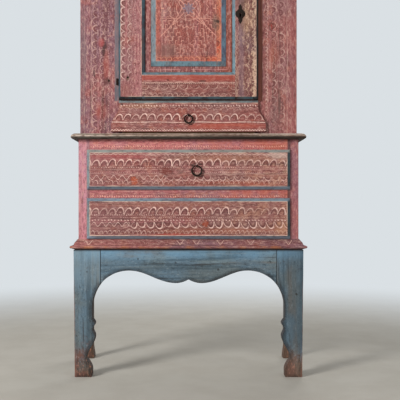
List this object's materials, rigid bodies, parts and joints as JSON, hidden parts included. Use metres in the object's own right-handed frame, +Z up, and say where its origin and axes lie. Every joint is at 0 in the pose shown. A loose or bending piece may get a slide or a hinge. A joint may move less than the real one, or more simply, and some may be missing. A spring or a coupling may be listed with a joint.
{
  "type": "cabinet on stand",
  "caption": "Painted cabinet on stand: a cupboard with a raised-panel door and an ogee-ended drawer over a chest of lipped drawers, on shaped legs with a scalloped apron.",
  "frame": {"origin": "on the floor, below the middle of the whole cabinet's box", "axes": "+X towards the cabinet's right as seen from the front, -Y out of the front, +Z up along the height"},
  "size_m": [0.962, 0.4437, 1.978],
  "materials": {
    "red_paint": "dull brick-red distemper over pine, cut through with pale gouge marks and worn at the edges",
    "pink_red_paint": "paler pink-red distemper over pine, worn",
    "door_panel_paint": "orange-red field with pale incised star, blue slope round it and red margin",
    "drawer_paint": "brick-red distemper with rows of gouge-cut scallops, grey-blue bevel round the edge",
    "blue_paint": "grey-blue distemper, rubbed brown at the edges and feet",
    "waist_paint": "worn grey-brown paint, almost bare on the nosing",
    "bare_pine": "unpainted aged pine, matt",
    "black_iron": "hand-forged iron, dark and slightly rusted"
  },
  "bodies": {
    "case": {"stand_leg_front_left": "blue_paint", "stand_leg_front_right": "blue_paint", "stand_leg_rear_left": "blue_paint", "stand_leg_rear_right": "blue_paint", "stand_front_apron": "blue_paint", "stand_side_aprons": "blue_paint", "stand_rear_rail": "blue_paint", "chest_side_left": "red_paint", "chest_side_right": "red_paint", "chest_bottom_rail": "red_paint", "chest_middle_rail": "red_paint", "chest_top_rail": "red_paint", "base_moulding_front": "red_paint", "base_moulding_returns": "red_paint", "cupboard_side_left": "red_paint", "cupboard_side_right": "red_paint", "cupboard_stile_left": "red_paint", "cupboard_stile_right": "red_paint", "cupboard_middle_rail": "red_paint", "cupboard_top_rail": "red_paint", "cornice_front": "red_paint", "cornice_returns": "red_paint", "chest_stile_left": "pink_red_paint", "chest_stile_right": "pink_red_paint", "waist_board": "waist_paint", "chest_bottom_board": "bare_pine", "chest_back_planks": "bare_pine", "drawer_runners": "bare_pine", "cupboard_bottom_board": "bare_pine", "cupboard_floor": "bare_pine", "cupboard_top_board": "bare_pine", "cupboard_back_planks": "bare_pine", "shelf": "bare_pine", "shelf_battens": "bare_pine", "hinge_pintles": "black_iron"},
    "door": {"door_stile_left": "red_paint", "door_stile_right": "red_paint", "door_bottom_rail": "red_paint", "door_top_rail": "red_paint", "door_panel": "door_panel_paint", "escutcheon": "black_iron", "lock_case": "black_iron", "hinge_eyes": "black_iron"},
    "lock_bolt": {"lock_bolt": "black_iron"},
    "upper_drawer": {"upper_drawer_front": "drawer_paint", "upper_drawer_sides": "bare_pine", "upper_drawer_back": "bare_pine", "upper_drawer_bottom": "bare_pine", "upper_drawer_staple": "black_iron"},
    "lower_drawer": {"lower_drawer_front": "drawer_paint", "lower_drawer_sides": "bare_pine", "lower_drawer_back": "bare_pine", "lower_drawer_bottom": "bare_pine"},
    "small_drawer": {"small_drawer_front": "drawer_paint", "small_drawer_sides": "bare_pine", "small_drawer_back": "bare_pine", "small_drawer_bottom": "bare_pine", "small_drawer_staple": "black_iron"},
    "upper_ring": {"upper_drawer_ring": "black_iron"},
    "small_ring": {"small_drawer_ring": "black_iron"}
  },
  "joints": [
    {"name": "door_swing", "type": "hinge", "parent": "case", "child": "door", "pos_m": [-0.285, -0.1805, 1.47], "axis": [0, 0, -1], "range_deg": [0, 105]},
    {"name": "upper_drawer_slide", "type": "slide", "parent": "case", "child": "upper_drawer", "axis": [0, -1, 0], "range_m": [0, 0.28]},
    {"name": "lower_drawer_slide", "type": "slide", "parent": "case", "child": "lower_drawer", "axis": [0, -1, 0], "range_m": [0, 0.28]},
    {"name": "small_drawer_slide", "type": "slide", "parent": "case", "child": "small_drawer", "axis": [0, -1, 0], "range_m": [0, 0.26]},
    {"name": "lock_bolt_throw", "type": "slide", "parent": "door", "child": "lock_bolt", "axis": [1, 0, 0], "range_m": [0, 0.012]},
    {"name": "upper_ring_swing", "type": "hinge", "parent": "upper_drawer", "child": "upper_ring", "pos_m": [0.033, -0.21705, 0.841], "axis": [-1, 0, 0], "range_deg": [-6, 150]},
    {"name": "small_ring_swing", "type": "hinge", "parent": "small_drawer", "child": "small_ring", "pos_m": [0, -0.19705, 1.045], "axis": [-1, 0, 0], "range_deg": [-6, 150]}
  ]
}
